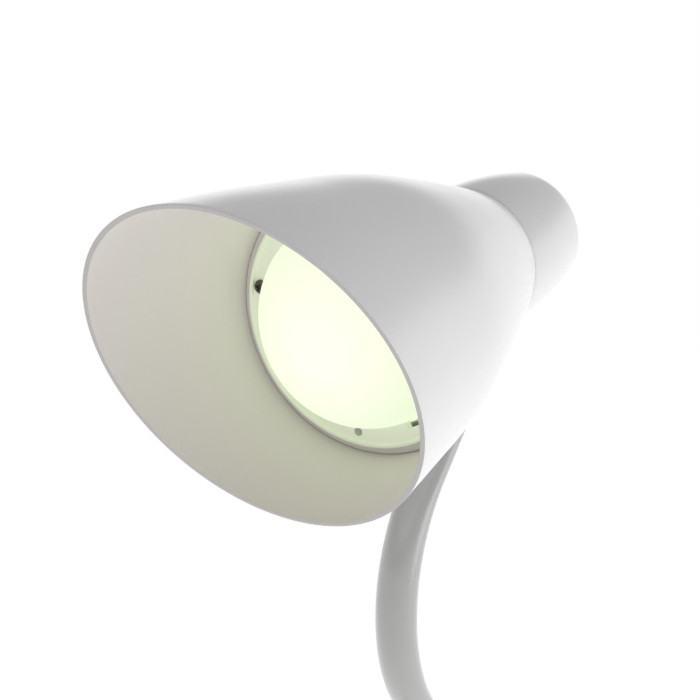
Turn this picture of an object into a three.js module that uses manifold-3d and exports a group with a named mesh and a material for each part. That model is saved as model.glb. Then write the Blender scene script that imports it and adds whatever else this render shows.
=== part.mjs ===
// A clip-on reading lamp: a bell shade with an LED module on a tapered neck, a sleeved gooseneck, and a
// sprung clip that grips the edge of a desk. Millimetres, +Z up. The origin is the middle of the upper
// jaw's gripping face, which rests on top of the desk. The lamp shines towards -Y, and X = 0 is its plane
// of symmetry. The clip and arm are laid out from the arm's foot, and the whole is moved at the end.
import * as THREE from 'three';
import { mergeVertices } from 'three/addons/utils/BufferGeometryUtils.js';
import Module from 'manifold-3d';

const wasm = await Module();
wasm.setup();

// ---------------------------------------------------------------- driving dimensions

const GAP = 0.3; // between pieces that touch or are cut by one another
const ROUND = 16; // facets round a small turned piece
const SMOOTH = 32; // facets round the shade, the neck and the LED module
const DEG = Math.PI / 180;

// Gooseneck, from the clip upwards
const SLEEVE_RADIUS = 6.55;
const SLEEVE_WALL = 1.35;
const CORE_BORE = 2.4;
const LEAD_RADIUS = 1.7;
const ARM_FOOT = 40; // straight length above the clip
const ARM_LOW_BEND = 90; // radius where the arm starts to lean forward
const ARM_FORWARD_LEAN = 34; // degrees from vertical, at the arm's lower half
const ARM_MIDDLE = 10; // straight length between the two bends
const ARM_HIGH_BEND = 55.8; // radius where the arm turns back to the neck
const ARM_TOP_LEAN = 46; // degrees from vertical, leaning back, where it meets the neck
const ARM_TOP = 59.5; // straight length up to the neck's surface
const BEND_PLACES = [60, 111, 162]; // distances along the arm of the places where it bends
const BEND_LIMIT = 30; // degrees that each of them can turn either way

// Head, measured from the LED ring's front face: forward is out of the mouth, back is towards the neck
const HEAD_PITCH = 3.2; // degrees that the shade's axis points down
const SHADE_WALL = 1.4;
const SHADE_OUTLINE = [ // [outer radius, distance back]
  [24.0, 63.7],
  [33.9, 33.8],
  [42.4, 3.9],
  [47.3, -26.0],
  [51.5, -55.9],
  [54.5, -85.8],
];
const MOUTH_FORWARD = 57.8; // where the slanted mouth crosses the axis
const MOUTH_SLANT = 22.7; // degrees that the mouth leans, with the long lip on top
const NECK_LENGTH = 38.6;
const NECK_END_RADIUS = 20.2;
const NECK_BOW = 1.05; // how far the taper bulges at its middle
const NECK_WALL = 2.2;
const ENTRY_BACK = SHADE_OUTLINE[0][1] + NECK_LENGTH - 23.3; // where the arm's axis crosses the underside
const ENTRY_DROP = 23.5;
const BOSS_RADIUS = 9;
const BOSS_WALL = 2;
const BOSS_LENGTH = 13; // outside the neck's surface, along the arm
const BOSS_FLOOR = 3;
const SHANK_RADIUS = 4.6;

// LED module
const RING_RADIUS = 39;
const RING_THICKNESS = 2;
const RING_LEDGE = 1; // the thinner edge that reaches out to the shade
const LIP_WIDTH = 1.2;
const LIP_HEIGHT = 1;
const DOME_RADIUS = 32;
const DOME_HEIGHT = 26;
const DOME_WALL = 1.6;
const MODULE_SCREW_CIRCLE = 35.3;
const MODULE_SCREW_ANGLES = [-98.7, 81.3]; // degrees from straight down, towards +X
const DIMPLE_ANGLES = [-4.5, 175.5];
const NOTCH_ANGLE = 28.5;
const BOARD_RADIUS = 30;
const BOARD_THICKNESS = 1.6;
const LED_COUNT = 6;
const LED_CIRCLE = 16;

// Power button
const BUTTON_RADIUS = 6.8;

// Clip
const CLIP_HALF_WIDTH = 20;
const CLIP_FRONT = 44; // the jaw's tip, in front of the arm
const CLIP_BACK = 24; // the rear wall, behind the arm
const CLIP_TOP = 27;
const CLIP_WALL = 2.4;
const PAD_THICKNESS = 2.7;
const PAD_BACK = -8;
const GRIP_END = 60; // how far behind the arm both grips reach
const PIVOT = [20, -6]; // [y, z] of the jaw's hinge
const PIN_RADIUS = 2.5;
const HUB_RADIUS = 6.5; // round the pin, on both jaws
const JAW_PLATE = 3;
const JAW_REST_GAP = 2.5; // between the two pads when nothing is clamped
const SPRING_RADIUS = 5; // to the wire's centre
const SPRING_WIRE = 0.8; // radius of the wire
const SPRING_TURNS = 4;
const RIDGES = 5; // raised lines across each grip
const INLET_RADIUS = 4.6;
const INLET_HEIGHT = 19;
const COVER_SCREW_PLACES = [-12.5, 12.5];
const COVER_SCREW_BACK = 9;

// ---------------------------------------------------------------- shapes

// A closed geometry as a manifold-3d solid.
function solid(geometry) {
  const bare = geometry.clone();
  bare.deleteAttribute('normal');
  bare.deleteAttribute('uv');
  const merged = mergeVertices(bare, 1e-4);
  const triVerts = new Uint32Array(merged.index.array);
  const vertProperties = merged.attributes.position.array;
  return new wasm.Manifold(new wasm.Mesh({ numProp: 3, vertProperties, triVerts }));
}

// A manifold-3d solid as a geometry.
function surface(body) {
  const mesh = body.getMesh();
  const geometry = new THREE.BufferGeometry();
  geometry.setAttribute('position', new THREE.BufferAttribute(new Float32Array(mesh.vertProperties), 3));
  geometry.setIndex(new THREE.BufferAttribute(new Uint32Array(mesh.triVerts), 1));
  geometry.computeVertexNormals();
  return geometry;
}

function join(first, ...others) {
  return surface(others.reduce((body, other) => body.add(solid(other)), solid(first)));
}

function cut(first, ...tools) {
  return surface(tools.reduce((body, tool) => body.subtract(solid(tool)), solid(first)));
}

function common(first, second) {
  return surface(solid(first).intersect(solid(second)));
}

// A copy of a geometry, turned about X and moved.
function placed(geometry, x, y, z, turnX = 0) {
  return geometry.clone().rotateX(turnX).translate(x, y, z);
}

// A solid turned about the Z axis, from an outline of [radius, height] points that closes on itself.
function turned(outline, facets = ROUND) {
  const doubledArea = outline.reduce((sum, [r, z], i) => {
    const [nextR, nextZ] = outline[(i + 1) % outline.length];
    return sum + r * nextZ - nextR * z;
  }, 0);
  const ordered = doubledArea > 0 ? outline : [...outline].reverse();
  const start = ordered.findIndex(([r], i) => r === 0 && ordered.at(i - 1)[0] === 0);
  const fromAxis = start < 0 ? ordered : [...ordered.slice(start), ...ordered.slice(0, start)];
  const points = fromAxis.map(([r, z]) => new THREE.Vector2(r, z));
  if (start < 0) points.push(points[0].clone());
  return new THREE.LatheGeometry(points, facets).rotateX(Math.PI / 2);
}

function cylinder(radius, bottom, top, facets = ROUND) {
  return turned([[0, bottom], [radius, bottom], [radius, top], [0, top]], facets);
}

function pipe(outer, inner, bottom, top, facets = ROUND) {
  return turned([[inner, bottom], [outer, bottom], [outer, top], [inner, top]], facets);
}

// A block between two corners.
function block(low, high) {
  const size = high.map((value, i) => value - low[i]);
  const centre = high.map((value, i) => (value + low[i]) / 2);
  return new THREE.BoxGeometry(...size).translate(...centre);
}

// A block between two corners with its upright edges rounded.
function roundedBlock(low, high, radius) {
  const [width, depth, height] = high.map((value, i) => value - low[i]);
  const outline = new THREE.Shape();
  outline.absarc(width - radius, radius, radius, -Math.PI / 2, 0);
  outline.absarc(width - radius, depth - radius, radius, 0, Math.PI / 2);
  outline.absarc(radius, depth - radius, radius, Math.PI / 2, Math.PI);
  outline.absarc(radius, radius, radius, Math.PI, 1.5 * Math.PI);
  outline.closePath();
  const options = { depth: height, bevelEnabled: false, curveSegments: 3 };
  return new THREE.ExtrudeGeometry(outline, options).translate(...low);
}

// A side view, given as [y, z] points, made solid between two values of x.
function sideView(points, fromX, toX) {
  const outline = new THREE.Shape(points.map(([y, z]) => new THREE.Vector2(y, z)));
  const options = { depth: toX - fromX, bevelEnabled: false };
  const body = new THREE.ExtrudeGeometry(outline, options);
  return body.rotateY(Math.PI / 2).rotateX(Math.PI / 2).translate(fromX, 0, 0);
}

// A round bar swept along a curve, or a pipe if it has a bore.
function swept(curve, radius, bore, steps, facets) {
  const section = new THREE.Shape().absarc(0, 0, radius, 0, 2 * Math.PI);
  if (bore > 0) section.holes.push(new THREE.Path().absarc(0, 0, bore, 0, 2 * Math.PI, true));
  const options = { steps, extrudePath: curve, bevelEnabled: false, curveSegments: facets / 2 };
  return new THREE.ExtrudeGeometry(section, options);
}

function smoothCurve(points) {
  return new THREE.CatmullRomCurve3(points.map((point) => new THREE.Vector3(...point)));
}

// A pan-head screw along Z: the head's underside is at zero and the shank runs up from it.
function screw(headRadius, headHeight, shankRadius, length) {
  const body = turned([
    [0, -headHeight], [0.6 * headRadius, -headHeight], [headRadius, -0.5 * headHeight], [headRadius, 0],
    [shankRadius, 0], [shankRadius, length], [0, length],
  ], 12);
  const [reach, half, depth] = [0.55 * headRadius, 0.15 * headRadius, 0.5 * headHeight];
  const slot = block([-reach, -half, -2 * headHeight], [reach, half, depth - headHeight]);
  return cut(body, slot, slot.clone().rotateZ(Math.PI / 2));
}

// ---------------------------------------------------------------- the scene graph

const lamp = new THREE.Group();
const clip = new THREE.Group();
const arm = new THREE.Group();
const head = new THREE.Group();
lamp.add(clip, arm, head);

function finish(color, roughness, metalness = 0) {
  return new THREE.MeshStandardMaterial({ color, roughness, metalness });
}

const finishes = {
  white: finish('#f2f1ee', 0.25),
  sleeve: finish('#e9e8e6', 0.5),
  ring: finish('#dfe2d3', 0.4),
  opal: finish('#fbffe9', 0.5),
  steel: finish('#b9bcc0', 0.35, 0.9),
  aluminium: finish('#c9ccd0', 0.4, 0.9),
  black: finish('#23221f', 0.4),
  board: finish('#f4f4f0', 0.6),
  led: finish('#f3e37a', 0.4),
  copper: finish('#b8703a', 0.4, 0.8),
  rubber: finish('#8e8f92', 0.8),
  grey: finish('#c4c6c5', 0.4),
  red: finish('#b3261e', 0.5),
};

function add(group, name, geometry, look) {
  const mesh = new THREE.Mesh(geometry, finishes[look]);
  mesh.name = name;
  group.add(mesh);
}

// ---------------------------------------------------------------- the arm's centreline

const FERRULE_FLANGE = 2;
const FERRULE_FLOOR = 2; // closes the cup that the sleeve ends in
const ARM_START = CLIP_TOP + GAP + FERRULE_FLANGE + FERRULE_FLOOR + GAP;

// Each stretch turns the arm's heading, in degrees from vertical with forward positive.
const stretches = [
  { length: ARM_FOOT, turn: 0 },
  { length: ARM_LOW_BEND * ARM_FORWARD_LEAN * DEG, turn: ARM_FORWARD_LEAN },
  { length: ARM_MIDDLE, turn: 0 },
  {
    length: ARM_HIGH_BEND * (ARM_FORWARD_LEAN + ARM_TOP_LEAN) * DEG,
    turn: -ARM_FORWARD_LEAN - ARM_TOP_LEAN,
  },
  { length: ARM_TOP, turn: 0 },
];
const ARM_LENGTH = stretches.reduce((sum, stretch) => sum + stretch.length, 0);

// The point at a distance along the arm from its foot.
function armAt(distance) {
  let [y, z, heading, left] = [0, ARM_START, 0, distance];
  for (const { length, turn } of stretches) {
    const run = Math.min(left, length);
    const turnHere = turn * DEG * (run / length);
    const chord = turnHere === 0 ? run : (2 * run * Math.sin(turnHere / 2)) / turnHere;
    y -= chord * Math.sin(heading + turnHere / 2);
    z += chord * Math.cos(heading + turnHere / 2);
    heading += turnHere;
    left -= run;
    if (left <= 0) break;
  }
  return new THREE.Vector3(0, y, z);
}

class ArmStretch extends THREE.Curve {
  constructor(from, to) {
    super();
    this.from = from;
    this.to = to;
  }

  getPoint(share) {
    return armAt(this.from + (this.to - this.from) * share);
  }
}

function armPiece(from, to, radius, bore, facets) {
  const steps = Math.max(2, Math.round((to - from) / 9));
  return swept(new ArmStretch(from, to), radius, bore, steps, facets);
}

// ---------------------------------------------------------------- the gooseneck

// The sleeve and core stop short at each bending place, and a ball on the lower core sits in a cup in
// the upper one, so that every piece stays rigid.
const CORE_RADIUS = SLEEVE_RADIUS - SLEEVE_WALL - GAP;
const SLEEVE_RELIEF = SLEEVE_RADIUS * Math.tan((BEND_LIMIT / 2) * DEG) + GAP;
const CORE_RELIEF = CORE_RADIUS * Math.tan((BEND_LIMIT / 2) * DEG) + GAP;
const BALL_RADIUS = CORE_RADIUS - 0.7;
const CUP_RADIUS = BALL_RADIUS + GAP + 0.1;
const NECK_FERRULE_START = BOSS_LENGTH + GAP; // down the arm from the neck's surface
const SLEEVE_END = ARM_LENGTH - NECK_FERRULE_START - FERRULE_FLANGE - FERRULE_FLOOR - GAP;
const SHANK_TOP = BOSS_LENGTH - BOSS_FLOOR - 4.5;
const LEAD_TOP = SHANK_TOP - 1; // where the arm's lead ends inside the boss
const LEAD_BOTTOM = -16; // inside the clip

const ball = new THREE.SphereGeometry(BALL_RADIUS, 12, 8);
const cup = new THREE.SphereGeometry(CUP_RADIUS, 12, 8);
const armStarts = [0, ...BEND_PLACES];
armStarts.forEach((start, index) => {
  const number = index + 1;
  const isFirst = index === 0;
  const isLast = index === BEND_PLACES.length;
  const end = isLast ? SLEEVE_END : armStarts[number];
  const sleeveFrom = isFirst ? start : start + SLEEVE_RELIEF;
  const sleeveTo = isLast ? end : end - SLEEVE_RELIEF;
  const sleeveBore = SLEEVE_RADIUS - SLEEVE_WALL;
  const sleeve = armPiece(sleeveFrom, sleeveTo, SLEEVE_RADIUS, sleeveBore, 16);
  add(arm, `gooseneck_sleeve_${number}`, sleeve, 'sleeve');

  const coreFrom = isFirst ? start : start + CORE_RELIEF;
  const coreTo = isLast ? end : end - CORE_RELIEF;
  let core = armPiece(coreFrom, coreTo, CORE_RADIUS, 0, 12);
  if (!isFirst) core = cut(core, placed(cup, ...armAt(start)));
  if (!isLast) core = join(core, placed(ball, ...armAt(end)));
  const bore = armPiece(coreFrom - 3, coreTo + 8, CORE_BORE, 0, 8);
  add(arm, `gooseneck_core_${number}`, cut(core, bore), 'steel');

  const leadFrom = isFirst ? LEAD_BOTTOM : start + CUP_RADIUS + GAP;
  const leadTo = isLast ? ARM_LENGTH - LEAD_TOP : end + BALL_RADIUS - 4 * GAP;
  add(arm, `supply_lead_${number}`, armPiece(leadFrom, leadTo, LEAD_RADIUS, 0, 8), 'black');
});

// A ferrule along Z: a threaded shank below zero, a flange on it, and a cup above for the sleeve's end.
function ferrule(shank, shankLength, flange, cupRadius, height) {
  const floor = FERRULE_FLANGE + FERRULE_FLOOR;
  return turned([
    [CORE_BORE, -shankLength], [shank, -shankLength], [shank, 0], [flange, 0], [flange, FERRULE_FLANGE - 0.6],
    [flange - 0.6, FERRULE_FLANGE], [cupRadius, FERRULE_FLANGE], [cupRadius - 0.5, height - 0.8],
    [cupRadius - 0.9, height], [SLEEVE_RADIUS + GAP, height], [SLEEVE_RADIUS + GAP, floor],
    [CORE_BORE, floor],
  ]);
}

// ---------------------------------------------------------------- where the head sits

// The head's own axes: -Y out of the mouth along the shade's axis, origin at the LED ring's front face.
const entry = new THREE.Vector3(0, ENTRY_BACK, -ENTRY_DROP);
const neckPoint = armAt(ARM_LENGTH);
head.rotation.set(HEAD_PITCH * DEG, 0, 0);
head.position.copy(neckPoint).sub(entry.clone().applyEuler(head.rotation));

// A piece made along Z, laid on the arm's axis where it meets the neck: zero is the neck's surface and
// +Z runs down the arm. The first is for pieces of the head, the second for pieces of the arm.
function onSwivelAxis(geometry) {
  return placed(geometry, ...entry, Math.PI - (ARM_TOP_LEAN + HEAD_PITCH) * DEG);
}

function onArmEnd(geometry) {
  return placed(geometry, ...neckPoint, Math.PI - ARM_TOP_LEAN * DEG);
}

// A piece turned about Z, laid on the shade's axis with +Z pointing back towards the neck.
function onShadeAxis(geometry) {
  return placed(geometry, 0, 0, 0, -Math.PI / 2);
}

// A piece made along Z, laid parallel to the shade's axis at an angle from straight down.
function onCircle(geometry, radius, degrees) {
  const [x, z] = [radius * Math.sin(degrees * DEG), -radius * Math.cos(degrees * DEG)];
  return placed(geometry, x, 0, z, -Math.PI / 2);
}

// ---------------------------------------------------------------- shade

const SHADE_STEPS = 8;
const shadeCurve = new THREE.SplineCurve(SHADE_OUTLINE.map(([r, back]) => new THREE.Vector2(r, back)));
const shadeBack = SHADE_OUTLINE[0][1];

// The shade's outline from its small end forward, moved inwards square to its surface.
function shadeSide(inwards) {
  return shadeCurve.getPoints(SHADE_STEPS).map((point, i) => {
    const along = shadeCurve.getTangent(i / SHADE_STEPS);
    return [point.x + along.y * inwards, point.y - along.x * inwards];
  });
}

// The radius of the shade's inner face at a distance behind the LED ring's face.
function shadeInside(back) {
  const side = shadeSide(SHADE_WALL);
  const next = side.findIndex(([, y]) => y < back);
  const [[r0, y0], [r1, y1]] = [side[next - 1], side[next]];
  return r0 + ((r1 - r0) * (back - y0)) / (y1 - y0);
}

const shadeShell = onShadeAxis(turned([...shadeSide(0), ...shadeSide(SHADE_WALL).reverse()], SMOOTH));
const beyondMouth = placed(block([-99, -99, -150], [99, 0, 150]), 0, -MOUTH_FORWARD, 0, MOUTH_SLANT * DEG);
add(head, 'shade_bell', cut(shadeShell, beyondMouth), 'white');

// ---------------------------------------------------------------- neck, cap and button

const NECK_STEPS = 4;
const neckFront = shadeBack + GAP;
const neckBack = shadeBack + NECK_LENGTH;
const SPIGOT_LENGTH = 6; // the neck's tongue inside the shade's small end
const SPIGOT_WALL = 1.6;
const spigotRadius = SHADE_OUTLINE[0][0] - SHADE_WALL - 2 * GAP;

// The neck's side from front to back, moved inwards.
function neckSide(inwards) {
  return Array.from({ length: NECK_STEPS + 1 }, (_, i) => {
    const share = i / NECK_STEPS;
    const taper = SHADE_OUTLINE[0][0] + (NECK_END_RADIUS - SHADE_OUTLINE[0][0]) * share;
    const radius = taper + 4 * NECK_BOW * share * (1 - share) - inwards;
    return [radius, neckFront + (neckBack - neckFront) * share];
  });
}

const neckShell = onShadeAxis(turned([
  ...neckSide(0), ...neckSide(NECK_WALL).reverse(), [spigotRadius - SPIGOT_WALL, neckFront + 1.5],
  [spigotRadius - SPIGOT_WALL, neckFront - SPIGOT_LENGTH], [spigotRadius, neckFront - SPIGOT_LENGTH],
  [spigotRadius, neckFront],
], SMOOTH));
const neckHollow = onShadeAxis(turned([
  [0, neckFront - 20], [spigotRadius, neckFront - 20], ...neckSide(NECK_WALL), [0, neckBack],
], SMOOTH));
const shadeWithClearance = onShadeAxis(turned([
  [0, neckFront], [SHADE_OUTLINE[0][0] + 2 * GAP, neckFront], ...shadeSide(-2 * GAP).slice(1, 3), [0, 30],
], SMOOTH));
const boss = cut(
  onSwivelAxis(turned([
    [0, -6], [BOSS_RADIUS, -6], [BOSS_RADIUS, BOSS_LENGTH - 0.8], [BOSS_RADIUS - 0.8, BOSS_LENGTH],
    [0, BOSS_LENGTH],
  ])),
  neckHollow,
  shadeWithClearance,
);
const bossHollow = onSwivelAxis(cylinder(BOSS_RADIUS - BOSS_WALL, -12, BOSS_LENGTH - BOSS_FLOOR));
const bossBore = onSwivelAxis(cylinder(SHANK_RADIUS + GAP, 0, BOSS_LENGTH + 5));

// The driver board lies on a rail along each side of the neck.
const DRIVER_HALF_WIDTH = 13;
const DRIVER_BOTTOM = 2;
const DRIVER_FRONT = 48;
const DRIVER_BACK = neckBack - 20.3;
const railLow = [DRIVER_HALF_WIDTH - 1.5, neckFront + 2, DRIVER_BOTTOM - GAP - 1.4];
const rail = common(
  block(railLow, [30, DRIVER_BACK, DRIVER_BOTTOM - GAP]),
  onShadeAxis(turned([[0, neckFront], ...neckSide(1), [0, neckBack]], SMOOTH)),
);
const otherRail = common(
  block([-30, railLow[1], railLow[2]], [-railLow[0], DRIVER_BACK, DRIVER_BOTTOM - GAP]),
  onShadeAxis(turned([[0, neckFront], ...neckSide(1), [0, neckBack]], SMOOTH)),
);
const neck = join(neckShell, boss, rail, otherRail);
add(head, 'neck_housing', cut(neck, bossHollow, bossBore), 'white');

const CAP_RADIUS = NECK_END_RADIUS - NECK_WALL - GAP;
const CAP_FRONT = neckBack - 2.4;
const CAP_SKIRT = 6;
const SWITCH_SIZE = [17.2, 9, 13]; // wide, deep and high
const SWITCH_FRONT = neckBack - 18;
const switchHalf = SWITCH_SIZE[0] / 2;
const switchBack = SWITCH_FRONT + SWITCH_SIZE[1];
const prong = (side) => {
  const [near, far] = [side * (switchHalf + GAP), side * (switchHalf + GAP + 1.5)].sort((a, b) => a - b);
  return block([near, SWITCH_FRONT + 1.5, -4], [far, CAP_FRONT + 1, 4]);
};
const capShell = onShadeAxis(turned([
  [BUTTON_RADIUS + GAP, CAP_FRONT], [CAP_RADIUS - 1.5, CAP_FRONT], [CAP_RADIUS - 1.5, CAP_FRONT - CAP_SKIRT],
  [CAP_RADIUS, CAP_FRONT - CAP_SKIRT], [CAP_RADIUS, neckBack - 0.8], [CAP_RADIUS - 0.6, neckBack - 0.2],
  [BUTTON_RADIUS + GAP, neckBack - 0.2],
], SMOOTH));
add(head, 'rear_cap', join(capShell, prong(-1), prong(1)), 'white');

const BUTTON_FLANGE = [CAP_FRONT - GAP - 1.4, CAP_FRONT - GAP]; // front and back faces
add(head, 'power_button', onShadeAxis(turned([
  [0, BUTTON_FLANGE[0] - 2.6], [2.2, BUTTON_FLANGE[0] - 2.6], [2.2, BUTTON_FLANGE[0]],
  [BUTTON_RADIUS + 1.4, BUTTON_FLANGE[0]], [BUTTON_RADIUS + 1.4, BUTTON_FLANGE[1]],
  [BUTTON_RADIUS, BUTTON_FLANGE[1]], [BUTTON_RADIUS, neckBack + 1.7], [BUTTON_RADIUS - 0.8, neckBack + 2.3],
  [0, neckBack + 2.6],
])), 'grey');
const [switchLow, switchHigh] = [[-switchHalf, SWITCH_FRONT, -6.5], [switchHalf, switchBack, 6.5]];
add(head, 'switch_body', block(switchLow, switchHigh), 'black');

const BUTTON_SPRING_RADIUS = 3.6;
const BUTTON_SPRING_WIRE = 0.3;
const BUTTON_SPRING_TURNS = 3;
const springFront = switchBack + GAP + BUTTON_SPRING_WIRE;
const springLength = BUTTON_FLANGE[0] - GAP - BUTTON_SPRING_WIRE - springFront;
const buttonCoil = Array.from({ length: 10 * BUTTON_SPRING_TURNS + 1 }, (_, i) => {
  const angle = (i * 2 * Math.PI) / 10;
  const back = springFront + (springLength * i) / (10 * BUTTON_SPRING_TURNS);
  return [BUTTON_SPRING_RADIUS * Math.cos(angle), back, BUTTON_SPRING_RADIUS * Math.sin(angle)];
});
const buttonWire = swept(smoothCurve(buttonCoil), BUTTON_SPRING_WIRE, 0, buttonCoil.length - 1, 6);
add(head, 'button_spring', buttonWire, 'steel');

// ---------------------------------------------------------------- LED module

const FLANGE_RADIUS = DOME_RADIUS + 1;
const ringPlate = onShadeAxis(turned([
  [DOME_RADIUS + GAP, 0], [RING_RADIUS - LIP_WIDTH, 0], [RING_RADIUS - LIP_WIDTH, -LIP_HEIGHT],
  [RING_RADIUS, -LIP_HEIGHT], [RING_RADIUS, RING_LEDGE], [shadeInside(RING_LEDGE) - 2 * GAP, RING_LEDGE],
  [shadeInside(RING_THICKNESS) - 2 * GAP, RING_THICKNESS], [DOME_RADIUS + GAP, RING_THICKNESS],
], SMOOTH));
const MODULE_SCREW_SHANK = 1;
const moduleBore = cylinder(MODULE_SCREW_SHANK + GAP, -5, 11, 12);
const dimple = cylinder(1.2, -1, 0.8, 12);
const notch = placed(block([-2, 0, -1.4], [2, 9, 1.4]), 0, -3, 0);
const notchAt = notch.translate(0, 0, -(DOME_RADIUS + 1.1)).rotateY(-NOTCH_ANGLE * DEG);
const moduleBores = MODULE_SCREW_ANGLES.map((angle) => onCircle(moduleBore, MODULE_SCREW_CIRCLE, angle));
const dimples = DIMPLE_ANGLES.map((angle) => onCircle(dimple, MODULE_SCREW_CIRCLE, angle));
add(head, 'led_carrier_ring', cut(ringPlate, ...moduleBores, ...dimples, notchAt), 'ring');

MODULE_SCREW_ANGLES.forEach((angle, i) => {
  const moduleScrew = placed(screw(2.2, 1.4, MODULE_SCREW_SHANK, 9), 0, 0, -GAP);
  add(head, `carrier_screw_${i + 1}`, onCircle(moduleScrew, MODULE_SCREW_CIRCLE, angle), 'steel');
});

const DOME_STEPS = 5;

// Half an ellipse from the rim to the crown, as [radius, distance back] points.
function domeSide(radius, height) {
  return Array.from({ length: DOME_STEPS + 1 }, (_, i) => {
    const angle = (i / DOME_STEPS) * 90 * DEG;
    return [i === DOME_STEPS ? 0 : radius * Math.cos(angle), -height * Math.sin(angle)];
  });
}

const domeFlangeFront = RING_THICKNESS + GAP;
const domeFlangeBack = domeFlangeFront + 1.6;
add(head, 'diffuser_dome', onShadeAxis(turned([
  ...domeSide(DOME_RADIUS, DOME_HEIGHT),
  ...domeSide(DOME_RADIUS - DOME_WALL, DOME_HEIGHT - DOME_WALL).reverse(),
  [DOME_RADIUS - DOME_WALL, domeFlangeBack], [FLANGE_RADIUS, domeFlangeBack],
  [FLANGE_RADIUS, domeFlangeFront], [DOME_RADIUS, domeFlangeFront],
], SMOOTH)), 'opal');

const boardFront = domeFlangeBack + 0.6;
const boardBack = boardFront + BOARD_THICKNESS;
add(head, 'led_board', onShadeAxis(cylinder(BOARD_RADIUS, boardFront, boardBack, SMOOTH)), 'board');
for (let i = 0; i < LED_COUNT; i += 1) {
  const led = block([-1.5, -1.5, boardFront - GAP - 0.8], [1.5, 1.5, boardFront - GAP]);
  add(head, `led_${i + 1}`, onCircle(led, LED_CIRCLE, (360 / LED_COUNT) * i), 'led');
}

const spreaderFront = boardBack + GAP;
const spreaderFlange = 12.4;
const rimInner = BOARD_RADIUS + 1.2;
const rimOuter = 34;
const spreaderPlate = onShadeAxis(turned([
  [7, spreaderFront], [rimInner, spreaderFront], [rimInner, domeFlangeBack + GAP],
  [rimOuter, domeFlangeBack + GAP], [rimOuter, spreaderFlange],
  [shadeInside(spreaderFlange) - 2 * GAP, spreaderFlange],
  [shadeInside(spreaderFlange + 1.6) - 2 * GAP, spreaderFlange + 1.6], [rimOuter - 1.6, spreaderFlange + 1.6],
  [rimOuter - 1.6, spreaderFront + 1.6], [7, spreaderFront + 1.6],
], SMOOTH));
const post = cylinder(1.9, domeFlangeFront, spreaderFlange + 0.5, 16);
const posts = MODULE_SCREW_ANGLES.map((angle) => onCircle(post, MODULE_SCREW_CIRCLE, angle));
add(head, 'heat_spreader', cut(join(spreaderPlate, ...posts), ...moduleBores), 'aluminium');

// ---------------------------------------------------------------- driver and wires

const driverTop = DRIVER_BOTTOM + 1.6;
add(head, 'driver_board', block(
  [-DRIVER_HALF_WIDTH, DRIVER_FRONT, DRIVER_BOTTOM],
  [DRIVER_HALF_WIDTH, DRIVER_BACK, driverTop],
), 'board');
add(head, 'driver_choke', placed(cylinder(4.5, 0, 8), -6, 60, driverTop + GAP), 'copper');
add(head, 'driver_capacitor', placed(cylinder(3.8, 0, 9), 6, 71, driverTop + GAP), 'black');

const wireHeight = driverTop + GAP + 0.9;
[['positive', 3, 'red'], ['negative', -3, 'black']].forEach(([pole, x, look]) => {
  const path = smoothCurve([
    [x, spreaderFront, 0], [x, 20, 0], [x, 33, 1.2], [x, 44, wireHeight], [x, 53, wireHeight],
  ]);
  add(head, `led_wire_${pole}`, swept(path, 0.9, 0, 12, 8), look);
});

// A point on the arm's axis, in the head's own axes, at a distance down the arm from the neck's surface.
function swivelPoint(down) {
  const lean = (ARM_TOP_LEAN + HEAD_PITCH) * DEG;
  return [0, ENTRY_BACK - down * Math.sin(lean), -ENTRY_DROP - down * Math.cos(lean)];
}

const headLead = smoothCurve([
  swivelPoint(LEAD_TOP - 2 * GAP), swivelPoint(0), [0, 82, -17], [0, 81.5, -9], [0, 78, -3],
  [0, 73, DRIVER_BOTTOM - GAP - LEAD_RADIUS], [0, 66, DRIVER_BOTTOM - GAP - LEAD_RADIUS],
]);
add(head, 'head_lead', swept(headLead, LEAD_RADIUS, 0, 16, 8), 'black');

// ---------------------------------------------------------------- swivel between arm and neck

const NUT_HEIGHT = 3;

// The nut's bore is round, so it is cut with more facets than its six sides.
function nut(cornerRadius, shank, bottom) {
  const body = cylinder(cornerRadius, bottom, bottom + NUT_HEIGHT, 6);
  return cut(body, cylinder(shank + GAP, bottom - 1, bottom + NUT_HEIGHT + 1));
}

const neckFerrule = ferrule(SHANK_RADIUS, NECK_FERRULE_START - SHANK_TOP, BOSS_RADIUS, 8.2, 13);
add(arm, 'neck_ferrule', onArmEnd(placed(neckFerrule, 0, 0, NECK_FERRULE_START)), 'white');
const neckNutTop = BOSS_LENGTH - BOSS_FLOOR - GAP;
add(arm, 'neck_ferrule_nut', onArmEnd(nut(6.7, SHANK_RADIUS, neckNutTop - NUT_HEIGHT)), 'steel');

// ---------------------------------------------------------------- clip

const innerHalf = CLIP_HALF_WIDTH - CLIP_WALL;
const bodyBottom = PAD_THICKNESS + GAP;
const roofUnderside = CLIP_TOP - CLIP_WALL;
const BASE_SHANK_RADIUS = 6;
const [pivotY, pivotZ] = PIVOT;

// A bore along X through the hinge.
const hingeBore = new THREE.CylinderGeometry(PIN_RADIUS + GAP, PIN_RADIUS + GAP, 60, ROUND)
  .rotateZ(Math.PI / 2).translate(0, pivotY, pivotZ);

// Points round the hinge, from one angle to another, as [y, z].
function hub(radius, from, to) {
  return Array.from({ length: 9 }, (_, i) => {
    const angle = (from + ((to - from) * i) / 8) * DEG;
    return [pivotY + radius * Math.cos(angle), pivotZ + radius * Math.sin(angle)];
  });
}

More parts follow.
